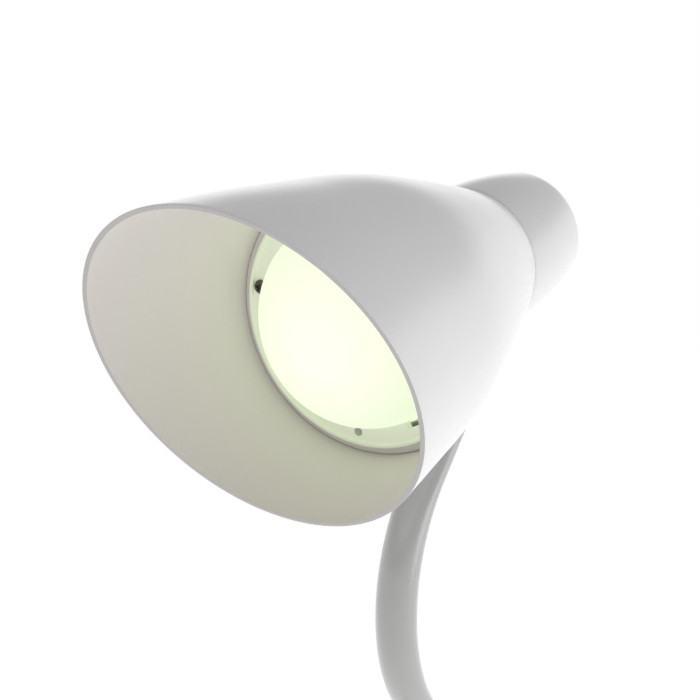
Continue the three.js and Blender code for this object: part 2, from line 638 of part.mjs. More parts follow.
const COVER_THICKNESS = 2.4;
const coverBottom = bodyBottom;
const coverTop = coverBottom + COVER_THICKNESS;
const coverScrewBore = cylinder(1.5, -5, 20, 12);
const screwBosses = COVER_SCREW_PLACES.map((x) => (
  placed(cylinder(3.2, coverTop + GAP, roofUnderside + 1, 16), x, COVER_SCREW_BACK, 0)
));
const screwBores = COVER_SCREW_PLACES.map((x) => placed(coverScrewBore, x, COVER_SCREW_BACK, 0));
const earSide = [[pivotY + 7, bodyBottom + 2], [pivotY - 9, bodyBottom + 2], ...hub(7, 180, 360)];
const gripSide = [[CLIP_BACK - 1, 5.4], [GRIP_END, 9], [GRIP_END, 12.4], [CLIP_BACK - 1, 11]];
const RIDGE_PITCH = 4.5;
const ridgesOn = (bottom, slope) => Array.from({ length: RIDGES }, (_, i) => {
  const y = GRIP_END - 4 - RIDGE_PITCH * i;
  const z = bottom + slope * (y - GRIP_END);
  return block([-13, y - 0.6, z], [13, y + 0.6, z + 1.6]);
});
const bodyLow = [-CLIP_HALF_WIDTH, -CLIP_FRONT, bodyBottom];
const outerBody = roundedBlock(bodyLow, [CLIP_HALF_WIDTH, CLIP_BACK, CLIP_TOP], 6);
const bodyHollow = roundedBlock(
  [-innerHalf, CLIP_WALL - CLIP_FRONT, bodyBottom - 1],
  [innerHalf, CLIP_BACK - CLIP_WALL, roofUnderside],
  6 - CLIP_WALL,
);
const inletHole = placed(cylinder(INLET_RADIUS + GAP, 0, 20), 0, CLIP_BACK - 10, INLET_HEIGHT, -Math.PI / 2);
const clipBody = cut(
  join(
    cut(outerBody, bodyHollow),
    sideView(earSide, -CLIP_HALF_WIDTH, -innerHalf),
    sideView(earSide, innerHalf, CLIP_HALF_WIDTH),
    sideView(gripSide, -18, 18),
    ...ridgesOn(11.6, 0.038),
    ...screwBosses,
  ),
  hingeBore,
  inletHole,
  cylinder(BASE_SHANK_RADIUS + GAP, 20, 30),
  ...screwBores.map((bore) => placed(bore, 0, 0, -2)),
);
add(clip, 'clip_body', clipBody, 'white');

const coverEdge = CLIP_WALL + GAP;
const cover = roundedBlock(
  [GAP - innerHalf, coverEdge - CLIP_FRONT, coverBottom],
  [innerHalf - GAP, CLIP_BACK - coverEdge, coverTop],
  3.3,
);
add(clip, 'clip_cover', cut(cover, ...screwBores), 'white');
COVER_SCREW_PLACES.forEach((x, i) => {
  const coverScrew = placed(screw(2.6, 1.4, 1.2, 12), x, COVER_SCREW_BACK, coverBottom - GAP);
  add(clip, `cover_screw_${i + 1}`, coverScrew, 'steel');
});

const PAD_HALF_WIDTH = 16;
const padFront = -CLIP_FRONT + 1;
const upperPad = roundedBlock([-PAD_HALF_WIDTH, padFront, 0], [PAD_HALF_WIDTH, PAD_BACK, PAD_THICKNESS], 4);
add(clip, 'upper_pad', upperPad, 'rubber');
const lowerPad = roundedBlock(
  [-PAD_HALF_WIDTH, padFront, -JAW_REST_GAP - PAD_THICKNESS],
  [PAD_HALF_WIDTH, PAD_BACK, -JAW_REST_GAP],
  4,
);
add(clip, 'lower_pad', lowerPad, 'rubber');

// The lever is the lower jaw in front of the hinge and a sloping grip behind it, joined by two cheeks.
const leverHalf = innerHalf - GAP;
const jawTop = -JAW_REST_GAP - PAD_THICKNESS - GAP;
const gripTop = (y) => -19.7 - 0.364 * (y - 40);
const jawPlate = roundedBlock([-leverHalf, -CLIP_FRONT, jawTop - JAW_PLATE], [leverHalf, 9, jawTop], 4);
const tailSide = [
  [28, gripTop(28)], [28, gripTop(28) - JAW_PLATE], [GRIP_END, gripTop(GRIP_END) - JAW_PLATE],
  [GRIP_END, gripTop(GRIP_END)],
];
const cheekSide = [
  [-8, jawTop - JAW_PLATE + 0.5], [14, gripTop(14) - 10], [28, gripTop(28) - JAW_PLATE],
  [GRIP_END, gripTop(GRIP_END) - JAW_PLATE], [GRIP_END, gripTop(GRIP_END) + 1], ...hub(HUB_RADIUS, 40, 120),
  [8, jawTop], [-8, jawTop - 0.5],
];
const cheekFrom = leverHalf - 3;
const lever = cut(
  join(
    jawPlate,
    sideView(tailSide, -leverHalf, leverHalf),
    sideView(cheekSide, -leverHalf, -cheekFrom),
    sideView(cheekSide, cheekFrom, leverHalf),
    ...ridgesOn(gripTop(GRIP_END) - JAW_PLATE - 0.8, -0.364),
  ),
  hingeBore,
);
add(clip, 'clip_lever', lever, 'white');

const pin = turned([
  [0, -CLIP_HALF_WIDTH - GAP - 1.8], [3.4, -CLIP_HALF_WIDTH - GAP - 1.8], [4, -CLIP_HALF_WIDTH - GAP - 1.2],
  [4, -CLIP_HALF_WIDTH - GAP], [PIN_RADIUS, -CLIP_HALF_WIDTH - GAP], [PIN_RADIUS, CLIP_HALF_WIDTH + 2.2],
  [PIN_RADIUS - 0.5, CLIP_HALF_WIDTH + 2.7], [0, CLIP_HALF_WIDTH + 2.7],
]);
add(clip, 'pivot_pin', pin.rotateY(Math.PI / 2).translate(0, pivotY, pivotZ), 'steel');
const retainer = pipe(4.2, PIN_RADIUS + GAP, CLIP_HALF_WIDTH + GAP, CLIP_HALF_WIDTH + GAP + 1);
add(clip, 'pin_retainer', retainer.rotateY(Math.PI / 2).translate(0, pivotY, pivotZ), 'steel');

// The spring coils round the pin. One leg presses up on the body's grip, the other down on the lever's.
const SPRING_START = 110; // degrees round the hinge where the upper leg leaves the coil
const SPRING_SWEEP = 360 * SPRING_TURNS + 140;
const SPRING_HALF = 5; // half the coil's width
const COIL_STEPS = 12 * SPRING_TURNS + 5;
const coil = Array.from({ length: COIL_STEPS + 1 }, (_, i) => {
  const share = i / COIL_STEPS;
  const angle = (SPRING_START + SPRING_SWEEP * share) * DEG;
  const [y, z] = [pivotY + SPRING_RADIUS * Math.cos(angle), pivotZ + SPRING_RADIUS * Math.sin(angle)];
  return [SPRING_HALF * (2 * share - 1), y, z];
});
const [upperLegEnd, lowerLegEnd] = [[36, 5.2], [42, gripTop(42) + SPRING_WIRE + 2 * GAP]];
const springPath = smoothCurve([
  [-SPRING_HALF, ...upperLegEnd], [-SPRING_HALF, 26, 1.5], ...coil,
  [SPRING_HALF, 27, gripTop(27) + SPRING_WIRE + 2 * GAP], [SPRING_HALF, ...lowerLegEnd],
]);
add(clip, 'clip_spring', swept(springPath, SPRING_WIRE, 0, 68, 6), 'steel');

const baseFerrule = ferrule(BASE_SHANK_RADIUS, CLIP_WALL + GAP + 5, 11, 8.6, 18);
add(clip, 'base_ferrule', placed(baseFerrule, 0, 0, CLIP_TOP + GAP), 'white');
add(clip, 'base_ferrule_nut', nut(9, BASE_SHANK_RADIUS, roofUnderside - GAP - NUT_HEIGHT), 'steel');

// ---------------------------------------------------------------- power inlet

const INLET_BORE = 3.1;
const inletFront = CLIP_BACK - 10.5;
const inletFloor = inletFront + 1.5;
const inletFace = CLIP_BACK + GAP + 1.2;
const socket = turned([
  [0, inletFront], [INLET_RADIUS, inletFront], [INLET_RADIUS, CLIP_BACK + GAP],
  [INLET_RADIUS + 1.2, CLIP_BACK + GAP], [INLET_RADIUS + 1.2, inletFace], [INLET_BORE, inletFace],
  [INLET_BORE, inletFloor], [0, inletFloor],
]);
add(clip, 'inlet_socket', placed(socket, 0, 0, INLET_HEIGHT, -Math.PI / 2), 'black');
const inletPin = turned([
  [0, inletFloor + GAP], [1, inletFloor + GAP], [1, inletFace - 2], [0.5, inletFace - 1.4],
  [0, inletFace - 1.4],
], 12);
add(clip, 'inlet_pin', placed(inletPin, 0, 0, INLET_HEIGHT, -Math.PI / 2), 'steel');

const leadEnd = armAt(LEAD_BOTTOM).z - 2 * GAP;
const baseLead = smoothCurve([
  [0, 0, leadEnd], [0, 0.2, leadEnd - 2.5], [0, 5, 8.6], [0, 11, 8.8], [0, 15.5, 11.9],
]);
add(clip, 'base_lead', swept(baseLead, LEAD_RADIUS, 0, 12, 8), 'black');

// ---------------------------------------------------------------- the part's own origin

lamp.position.set(0, -(padFront + PAD_BACK) / 2, 0);

export default lamp;
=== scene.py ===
# %% [markdown]
# # A clip-on reading lamp
# The lamp is a bell-shaped shade on a short neck, a sleeved gooseneck, and a sprung clip that holds the
# edge of a desk. The CAD model gives every piece its size and place. Here each piece gets the rounding,
# the smooth curves and the finish that the moulded and turned originals have.

from math import cos, pi, radians, sin, tan

import bpy
from mathutils import Matrix, Vector


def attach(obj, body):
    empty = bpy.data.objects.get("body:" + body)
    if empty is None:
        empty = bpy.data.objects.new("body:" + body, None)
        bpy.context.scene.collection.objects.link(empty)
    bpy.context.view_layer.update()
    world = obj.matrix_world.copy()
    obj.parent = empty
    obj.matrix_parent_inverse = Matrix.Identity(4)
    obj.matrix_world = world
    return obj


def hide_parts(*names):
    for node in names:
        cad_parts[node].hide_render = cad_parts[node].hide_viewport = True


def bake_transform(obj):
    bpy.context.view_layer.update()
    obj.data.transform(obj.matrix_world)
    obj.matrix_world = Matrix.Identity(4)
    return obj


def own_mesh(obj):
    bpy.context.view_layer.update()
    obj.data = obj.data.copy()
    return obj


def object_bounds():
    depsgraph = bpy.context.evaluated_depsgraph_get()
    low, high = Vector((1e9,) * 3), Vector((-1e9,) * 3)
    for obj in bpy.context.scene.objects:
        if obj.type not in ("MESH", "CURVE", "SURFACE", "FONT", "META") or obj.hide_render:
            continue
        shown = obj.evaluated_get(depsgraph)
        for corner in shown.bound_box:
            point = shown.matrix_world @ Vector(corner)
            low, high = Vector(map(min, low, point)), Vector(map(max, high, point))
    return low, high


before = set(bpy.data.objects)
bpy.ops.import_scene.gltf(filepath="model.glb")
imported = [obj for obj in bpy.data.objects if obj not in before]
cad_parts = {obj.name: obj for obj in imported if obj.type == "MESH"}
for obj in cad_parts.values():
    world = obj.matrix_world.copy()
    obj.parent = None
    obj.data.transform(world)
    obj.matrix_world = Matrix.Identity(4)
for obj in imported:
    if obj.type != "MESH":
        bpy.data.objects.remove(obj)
cad_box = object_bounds()
MM = 0.001
print("CAD box, mm:", [[round(v / MM, 1) for v in corner] for corner in cad_box])

# %% [markdown]
# ## Where things sit
# The head has axes of its own: its origin is the front face of the ring round the light, and its Y axis
# runs back along the shade to the neck. It is tipped 3.2 degrees nose down. The arm is one flat curve of
# straights and arcs, and its points are worked out from those. It stands on the clip 25.5 mm behind the
# middle of the upper pad, which is the origin of the whole lamp.

# %% Frames and the arm's curve
FOOT = Matrix.Translation(Vector((0, 25.5, 0)) * MM)
HEAD = FOOT @ Matrix.Translation(Vector((0, -50.868, 261.946)) * MM) @ Matrix.Rotation(radians(3.2), 4, "X")
BACKWARDS = Matrix.Rotation(radians(-90), 4, "X")
ARM_START = 31.6
STRETCHES = [(40, 0), (90 * radians(34), 34), (10, 0), (55.8 * radians(80), -80), (59.5, 0)]
ARM_LENGTH = sum(length for length, _ in STRETCHES)
BENDS = [60, 111, 162]


def arm_at(distance):
    """The point, in metres, and the heading, in radians, at a distance in mm along the arm."""
    y, z, heading, left = 25.5, ARM_START, 0.0, distance
    for length, turn in STRETCHES:
        run = min(left, length)
        angle = radians(turn) * run / length
        chord = run if angle == 0 else 2 * run * sin(angle / 2) / angle
        y -= chord * sin(heading + angle / 2)
        z += chord * cos(heading + angle / 2)
        heading += angle
        left -= run
        if left <= 0:
            break
    return Vector((0, y, z)) * MM, heading


ARM_END = Matrix.Translation(arm_at(ARM_LENGTH)[0]) @ Matrix.Rotation(pi - radians(46), 4, "X")
print("arm length, mm:", round(ARM_LENGTH, 1), "neck end:", arm_at(ARM_LENGTH)[0])

# %% [markdown]
# ## The camera
# The lamp is seen from its front left and a little above, close enough that the head fills the view.
# Setting the camera first keeps every later choice tied to what shows.

# %% Camera
camera = bpy.data.objects.new("camera", bpy.data.cameras.new("camera"))
bpy.context.scene.collection.objects.link(camera)
bpy.context.scene.camera = camera
camera.data.angle = radians(19.61)
camera.data.clip_start = 0.01
back = Vector((0.4980, -0.8200, 0.2822)).normalized()
right = Vector((0.8548, 0.5189, 0)).normalized()
up = back.cross(right).normalized()
turn = Matrix((right, up, back)).transposed().to_4x4()
camera.matrix_world = Matrix.Translation(HEAD.translation + Vector((0.2893, -0.4838, 0.1568))) @ turn
print("camera at", camera.location)

# %% [markdown]
# ## Modelling helpers
# Most pieces are turned: a circle is extruded from one point of an outline to the next and resized each
# time, just as by hand with E and S. Merging the doubles closes the ends. The rest start as a cube, or as
# a merged copy of the CAD solid, whose edges are then rounded.

# %% Helpers
SPECK = 0.0005


def only(obj):
    """Selects one object and makes it the active one."""
    bpy.ops.object.select_all(action="DESELECT")
    obj.select_set(True)
    bpy.context.view_layer.objects.active = obj


def tidy_mesh(obj, threshold=2e-6):
    """Merges doubles and points the faces outwards."""
    only(obj)
    bpy.ops.object.mode_set(mode="EDIT")
    bpy.ops.mesh.select_all(action="SELECT")
    bpy.ops.mesh.remove_doubles(threshold=threshold)
    bpy.ops.mesh.normals_make_consistent(inside=False)
    bpy.ops.object.mode_set(mode="OBJECT")


def turned(name, outline, segments=96):
    """A solid turned about Z, from an outline of (radius, height) points in millimetres."""
    bpy.ops.object.select_all(action="DESELECT")
    on_axis = outline[0][0] == 0 and outline[-1][0] == 0
    points = [(max(r, SPECK), z) for r, z in (outline if on_axis else outline + outline[:1])]
    (radius, height), *rest = points
    bpy.ops.mesh.primitive_circle_add(vertices=segments, radius=radius * MM, location=(0, 0, 0))
    obj = bpy.context.object
    obj.name = name
    bpy.ops.object.mode_set(mode="EDIT")
    bpy.ops.transform.translate(value=(0, 0, height * MM))
    for next_radius, next_height in rest:
        rise = (next_height - height) * MM
        bpy.ops.mesh.extrude_region_move(TRANSFORM_OT_translate={"value": (0, 0, rise)})
        factor = next_radius / radius
        bpy.ops.transform.resize(value=(factor, factor, 1), center_override=(0, 0, next_height * MM))
        radius, height = next_radius, next_height
    bpy.ops.object.mode_set(mode="OBJECT")
    tidy_mesh(obj)
    return obj


def modify(obj, kind, **settings):
    """Adds a modifier, sets it and applies it."""
    only(obj)
    bpy.ops.object.modifier_add(type=kind)
    modifier = obj.modifiers[-1]
    for key, value in settings.items():
        setattr(modifier, key, value)
    bpy.ops.object.modifier_apply(modifier=modifier.name)
    return obj


def round_edges(obj, width, segments=3, angle=35):
    return modify(
        obj, "BEVEL", width=width * MM, segments=segments, limit_method="ANGLE", angle_limit=radians(angle),
        use_clamp_overlap=True,
    )


def combine(obj, other, operation):
    """Joins another solid to this one or cuts it away, and deletes the other."""
    modify(obj, "BOOLEAN", operation=operation, object=other, solver="EXACT")
    bpy.data.objects.remove(other)
    return obj


def place(obj, matrix):
    """Moves a piece and bakes the move into its mesh, so that its object stays at the origin."""
    obj.matrix_world = matrix
    only(obj)
    bpy.ops.object.transform_apply(location=True, rotation=True, scale=True)
    return obj


def cad_copy(name, node):
    """A merged copy of a CAD node, with its coplanar triangles joined into whole faces."""
    obj = bpy.data.objects.new(name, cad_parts[node].data.copy())
    bpy.context.scene.collection.objects.link(obj)
    tidy_mesh(obj)
    bpy.ops.object.mode_set(mode="EDIT")
    bpy.ops.mesh.select_all(action="SELECT")
    bpy.ops.mesh.dissolve_limited(angle_limit=radians(0.5))
    bpy.ops.object.mode_set(mode="OBJECT")
    return obj


def spline(points, steps):
    """Points on a smooth curve through the given ones, with the direction at each."""
    curve = []
    for i in range(steps + 1):
        at = (len(points) - 1) * i / steps
        j = min(int(at), len(points) - 2)
        t = at - j
        p0, p1, p2, p3 = (Vector(points[max(0, min(len(points) - 1, j + k))]) for k in (-1, 0, 1, 2))
        m1, m2 = (p2 - p0) / 2, (p3 - p1) / 2
        where = p1 + m1 * t + (3 * (p2 - p1) - 2 * m1 - m2) * t**2 + (2 * (p1 - p2) + m1 + m2) * t**3
        along = m1 + 2 * (3 * (p2 - p1) - 2 * m1 - m2) * t + 3 * (2 * (p1 - p2) + m1 + m2) * t**2
        curve.append((where, along.normalized()))
    return curve


# %% [markdown]
# ## Shader helper
# A node's output is wrapped so that sums can be written as sums. Each operator adds the Math node that it
# needs, and one method adds any other kind of node.

# %% Shader arithmetic
class Wire:
    """A shader socket that takes part in Python arithmetic."""

    def __init__(self, tree, socket):
        self.tree = tree
        self.socket = socket

    def node(self, kind, settings, inputs, output=0):
        made = self.tree.nodes.new("ShaderNode" + kind)
        for key, value in settings.items():
            if key == "stops":
                ramp = made.color_ramp.elements
                while len(ramp) < len(value):
                    ramp.new(0.5)
                for stop, (position, colour) in zip(ramp, value):
                    stop.position = position
                    stop.color = (*colour, 1)
            else:
                setattr(made, key, value)
        for key, value in inputs.items():
            if isinstance(value, Wire):
                self.tree.links.new(value.socket, made.inputs[key])
            else:
                made.inputs[key].default_value = value
        return Wire(self.tree, made.outputs[output])

    def maths(self, operation, first, second):
        return self.node("Math", {"operation": operation}, {0: first, 1: second})

    def __add__(self, other):
        return self.maths("ADD", self, other)

    def __sub__(self, other):
        return self.maths("SUBTRACT", self, other)

    def __rsub__(self, other):
        return self.maths("SUBTRACT", other, self)

    def __mul__(self, other):
        return self.maths("MULTIPLY", self, other)

    __radd__ = __add__
    __rmul__ = __mul__

    def mix(self, low, high):
        """A colour between two, by this value."""
        settings = {"data_type": "RGBA"}
        return self.node("Mix", settings, {0: self, 6: (*low, 1), 7: (*high, 1)}, 2)


def new_finish(name):
    """A material with an empty Principled shader, and the object coordinates as a Wire."""
    made = bpy.data.materials.new(name)
    made.use_nodes = True
    shader = made.node_tree.nodes["Principled BSDF"]
    coordinates = made.node_tree.nodes.new("ShaderNodeTexCoord")
    return made, shader, Wire(made.node_tree, coordinates.outputs["Object"])


def feed(shader, wires, constants):
    """Links what varies over the surface, and sets what is the same all over it."""
    for name, wire in wires.items():
        wire.tree.links.new(wire.socket, shader.inputs[name])
    for name, value in constants.items():
        shader.inputs[name].default_value = value


def moulded(name, light, dark, roughness, grain, depth, constants=None, stretch=(1, 1, 1)):
    """A moulded or painted surface: slow drifts of tone, a fine grain, and its own gloss."""
    made, shader, at = new_finish(name)
    at = at.node("Mapping", {}, {"Vector": at, "Scale": stretch})
    drift = at.node("TexNoise", {}, {"Vector": at, "Scale": 18.0, "Detail": 3.0})
    fine = at.node("TexNoise", {}, {"Vector": at, "Scale": grain, "Detail": 4.0, "Roughness": 0.6})
    bump = at.node("Bump", {}, {"Strength": depth, "Distance": 0.0002, "Height": fine})
    tone = 0.8 * drift + 0.2 * fine
    wires = {"Base Color": tone.mix(dark, light), "Roughness": roughness - 0.06 + 0.12 * fine, "Normal": bump}
    feed(shader, wires, constants or {})
    return made

# %% [markdown]
# ## Finishes
# The shell parts are moulded in a glossy white plastic with a very slight waviness. Inside the shade the
# same plastic is left satin. The arm's sleeve is satin silicone, and the small parts are plated steel,
# stamped aluminium, copper and black plastic. Each finish carries its own grain.

# %% Plastics and rubber
white_gloss = moulded(
    "white_gloss", (0.80, 0.793, 0.797), (0.77, 0.763, 0.767), 0.2, 90.0, 0.03,
    {"Coat Weight": 1.0, "Coat Roughness": 0.07, "Specular IOR Level": 0.7},
)
satin_inside = moulded(
    "satin_inside", (0.79, 0.755, 0.74), (0.74, 0.705, 0.69), 0.5, 900.0, 0.12, {"Coat Weight": 0.1},
)
sleeve_silicone = moulded(
    "sleeve_silicone", (0.46, 0.46, 0.455), (0.42, 0.42, 0.415), 0.35, 700.0, 0.12,
    {"Coat Weight": 1.0, "Coat Roughness": 0.12, "Sheen Weight": 1.0, "Sheen Roughness": 0.3},
    stretch=(1, 1, 0.25),
)
# Painted shade: a darker grey for the shade that falls on the shade's cut rim and inside the ring's dimples.
painted_shade_grey = moulded(
    "painted_shade_grey", (0.54, 0.52, 0.515), (0.47, 0.45, 0.445), 0.45, 500.0, 0.2, {"Coat Weight": 0.2},
)
# Painted light: the ring plate's faint emission stands in for the dome's light falling on it.
ring_satin_painted_glow = moulded(
    "ring_satin_painted_glow", (0.80, 0.83, 0.72), (0.76, 0.79, 0.68), 0.4, 800.0, 0.08,
    {"Coat Weight": 0.15, "Emission Color": (0.75, 0.80, 0.62, 1), "Emission Strength": 0.16},
)
pad_rubber = moulded("pad_rubber", (0.075, 0.076, 0.079), (0.05, 0.05, 0.052), 0.78, 1400.0, 0.5)
black_plastic = moulded("black_plastic", (0.03, 0.03, 0.031), (0.018, 0.018, 0.019), 0.35, 1000.0, 0.15)
grey_satin = moulded("grey_satin", (0.46, 0.47, 0.465), (0.42, 0.43, 0.425), 0.45, 900.0, 0.15)
red_cover = moulded("red_cover", (0.5, 0.03, 0.02), (0.36, 0.02, 0.015), 0.4, 700.0, 0.1)
print("moulded finishes:", len(bpy.data.materials))

# %% [markdown]
# ### Metal
# Plated steel and aluminium differ from plastic in two ways: the shader's Metallic is 1, and the grain is
# drawn out along one direction, so that the gloss streaks as it does on wire and on stamped sheet.

# %% Metals


def metal(name, light, dark, roughness, stretch):
    made, shader, at = new_finish(name)
    at = at.node("Mapping", {}, {"Vector": at, "Scale": stretch})
    streaks = at.node("TexNoise", {}, {"Vector": at, "Scale": 500.0, "Detail": 5.0})
    stains = at.node("TexNoise", {}, {"Vector": at, "Scale": 40.0, "Detail": 2.0})
    bump = at.node("Bump", {}, {"Strength": 0.15, "Distance": 0.0001, "Height": streaks})
    wires = {
        "Base Color": stains.mix(dark, light),
        "Roughness": roughness - 0.08 + 0.16 * streaks,
        "Normal": bump,
    }
    feed(shader, wires, {"Metallic": 1.0})
    return made


plated_steel = metal("plated_steel", (0.72, 0.73, 0.75), (0.60, 0.61, 0.63), 0.26, (1, 0.15, 1))
dark_steel = metal("dark_steel", (0.16, 0.15, 0.14), (0.10, 0.095, 0.09), 0.34, (1, 1, 1))
stamped_aluminium = metal("stamped_aluminium", (0.80, 0.81, 0.82), (0.70, 0.71, 0.72), 0.34, (0.12, 1, 1))
copper_winding = metal("copper_winding", (0.72, 0.36, 0.18), (0.55, 0.24, 0.11), 0.3, (1, 8, 1))

# %% [markdown]
# ### What glows
# The dome is opal plastic lit from behind, so it is brightest over the middle of the LEDs and falls off
# a little towards its rim. The falloff is read from the distance to the shade's axis, which stays with
# the dome however it is looked at.

# %% Lit finishes


def lit(name, bright, rim, strength, centre, radius):
    made, shader, at = new_finish(name)
    place_wires = {"Vector": at, "Location": [-c for c in centre]}
    moved = at.node("Mapping", {}, place_wires)
    away = at.node("VectorMath", {"operation": "LENGTH"}, {0: moved}, 1)
    share = at.node("MapRange", {"clamp": True}, {0: away, 1: 0.2 * radius, 2: radius, 3: 0.0, 4: 1.0})
    cloud = at.node("TexNoise", {}, {"Vector": at, "Scale": 60.0, "Detail": 2.0})
    tint = (share + 0.06 * cloud).mix(bright, rim)
    body = (share + 0.06 * cloud).mix([0.3 * v for v in bright], [0.3 * v for v in rim])
    wires = {"Base Color": body, "Emission Color": tint, "Roughness": 0.4 + 0.1 * cloud}
    feed(shader, wires, {"Emission Strength": strength})
    return made


dome_middle = HEAD @ (Vector((0, -26, 0)) * MM)
opal_lit = lit("opal_lit", (0.90, 0.93, 0.74), (0.72, 0.82, 0.60), 0.95, dome_middle, 42 * MM)
phosphor_lit = lit("phosphor_lit", (1.0, 0.93, 0.5), (0.95, 0.8, 0.3), 4.0, HEAD.translation, 40 * MM)
print("lit finishes ready")

# %% [markdown]
# ### Circuit boards
# A board is a coloured lacquer over copper tracks. Where a track runs the lacquer stands up and shows a
# little lighter, so a brick pattern with thick joints gives the look of a routed board.

# %% Boards


def board(name, lacquer, track):
    made, shader, at = new_finish(name)
    scale = {"Vector": at, "Scale": 160.0, "Mortar Size": 0.08, "Brick Width": 0.9, "Row Height": 0.45}
    tracks = at.node("TexBrick", {"offset": 0.35}, scale, 1)
    dust = at.node("TexNoise", {}, {"Vector": at, "Scale": 300.0, "Detail": 3.0})
    bump = at.node("Bump", {}, {"Strength": 0.3, "Distance": 0.0001, "Height": tracks})
    wires = {"Base Color": (0.85 * tracks + 0.15 * dust).mix(lacquer, track), "Roughness": 0.3 + 0.15 * dust}
    feed(shader, {**wires, "Normal": bump}, {"Coat Weight": 0.3})
    return made


white_board = board("white_board", (0.78, 0.78, 0.75), (0.84, 0.84, 0.82))
green_board = board("green_board", (0.03, 0.16, 0.06), (0.06, 0.26, 0.10))

# %% [markdown]
# ## Fitting a piece to the frame
# Each finished piece that is given a body rides on it, stands for the CAD nodes it covers, and takes its
# finish.

# %% Fitting


def fit(obj, body, nodes, finish):
    obj.data.materials.clear()
    obj.data.materials.append(finish)
    if body:
        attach(obj, body)
    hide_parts(*nodes)
    only(obj)
    bpy.ops.object.shade_smooth_by_angle(angle=radians(38))
    print(f"{obj.name}: {len(obj.data.polygons)} faces for {', '.join(nodes)}")
    return obj


# %% [markdown]
# ## The shade
# The shade is one bell-shaped moulding of even thickness, cut off slantwise at the mouth so that the top
# lip reaches furthest. The outline is turned as a closed shell, the mouth is bisected, and the two cut
# loops are bridged to make the rim. The outside is glossy and the inside satin, and the rim is painted a
# darker grey, as painted shade on the cut edge. So each face is sorted by where it lies and which way it
# looks.

# %% Shade
SHADE = [(24.0, 63.7), (33.9, 33.8), (42.4, 3.9), (47.3, -26.0), (51.5, -55.9), (54.5, -85.8)]
WALL = 1.4
MOUTH_FORWARD = 57.8
MOUTH_SLANT = 22.7


def shade_side(inwards, steps=44):
    side = spline(SHADE, steps)
    return [(p.x + along.y * inwards, p.y - along.x * inwards) for p, along in side]


shade = place(turned("shade", shade_side(0) + shade_side(WALL)[::-1], 144), BACKWARDS)
mouth_middle = Vector((0, -MOUTH_FORWARD * MM, 0))
mouth_facing = Vector((0, -1, -tan(radians(MOUTH_SLANT)))).normalized()
only(shade)
bpy.ops.object.mode_set(mode="EDIT")
bpy.ops.mesh.select_all(action="SELECT")
bpy.ops.mesh.bisect(plane_co=mouth_middle, plane_no=mouth_facing, clear_outer=True)
bpy.ops.mesh.bridge_edge_loops()
bpy.ops.object.mode_set(mode="OBJECT")
tidy_mesh(shade)
round_edges(shade, 0.5, 4, 50)
RIM_DEPTH = 0.9 * MM
shade_faces = []
for face in shade.data.polygons:
    inwards = face.normal.x * face.center.x + face.normal.z * face.center.z < 0
    # Rim faces take the painted shade grey, which stands in for the shade on the cut edge.
    near_mouth = (face.center - mouth_middle).dot(mouth_facing) > -RIM_DEPTH
    on_rim = near_mouth and face.normal.dot(mouth_facing) > 0.5
    shade_faces.append(2 if on_rim else int(inwards))
place(shade, HEAD)
fit(shade, "head", ["shade_bell"], white_gloss)
shade.data.materials.append(satin_inside)
shade.data.materials.append(painted_shade_grey)
for face, which in zip(shade.data.polygons, shade_faces):
    face.material_index = which
print("shade faces outside, inside and on the rim:", [shade_faces.count(i) for i in range(3)])

# %% [markdown]
# ## The neck
# The neck carries on the shade's line behind a fine joint, swells very slightly as it tapers, and takes
# the arm on a slanting boss underneath. The boss is a turned piece joined to the shell, then the passage
# for the swivel is bored through both.

# %% Neck
JOINT = 63.72
NECK_BACK = 102.3


def neck_side(inwards, steps=24):
    side = []
    for i in range(steps + 1):
        share = i / steps
        radius = 24.0 - 3.8 * share + 4 * 1.05 * share * (1 - share) - inwards
        side.append((radius, JOINT + (NECK_BACK - JOINT) * share))
    return side


def on_swivel(obj):
    """Lays a piece made along Z on the arm's axis, with zero at the neck's surface."""
    lean = Matrix.Rotation(pi - radians(49.2), 4, "X")
    return place(obj, Matrix.Translation(Vector((0, 79, -23.5)) * MM) @ lean)


spigot = [(19.8, 65.5), (19.8, 58.0), (21.4, 58.0), (21.4, JOINT)]
neck = place(turned("neck", neck_side(0) + neck_side(2.2)[::-1] + spigot, 128), BACKWARDS)
boss = on_swivel(turned("boss", [(0, -6), (9, -6), (9, 12.2), (8.2, 13), (0, 13)], 64))
inside = place(turned("inside", [(0, 40)] + [(21.4, 40)] + neck_side(2.2) + [(0, NECK_BACK)], 64), BACKWARDS)
shade_room = shade_side(-0.6, 12)
shade_room = [(0, JOINT), (24.6, JOINT)] + shade_room[1:4] + [(0, shade_room[3][1])]
combine(boss, inside, "DIFFERENCE")
combine(boss, place(turned("shade_room", shade_room, 64), BACKWARDS), "DIFFERENCE")
combine(neck, boss, "UNION")
combine(neck, on_swivel(turned("hollow", [(0, -12), (7, -12), (7, 10), (0, 10)], 64)), "DIFFERENCE")
combine(neck, on_swivel(turned("bore", [(0, 5), (4.9, 5), (4.9, 18), (0, 18)], 64)), "DIFFERENCE")
for side in (-1, 1):
    bpy.ops.object.select_all(action="DESELECT")
    bpy.ops.mesh.primitive_cube_add(size=1, location=(side * 17.15 * MM, 74 * MM, 1.0 * MM))
    rail = bpy.context.object
    rail.scale = Vector((11.3, 16, 1.4)) * MM
    place(rail, rail.matrix_basis.copy())
    combine(neck, rail, "UNION")
place(neck, HEAD)
tidy_mesh(neck)
round_edges(neck, 0.35, 2, 45)
fit(neck, "head", ["neck_housing"], white_gloss)

# %% [markdown]
# ## Cap and power button
# The neck is closed by a cap, and the power button stands out of its middle. The button has a dished
# face, which a fingertip finds without looking.

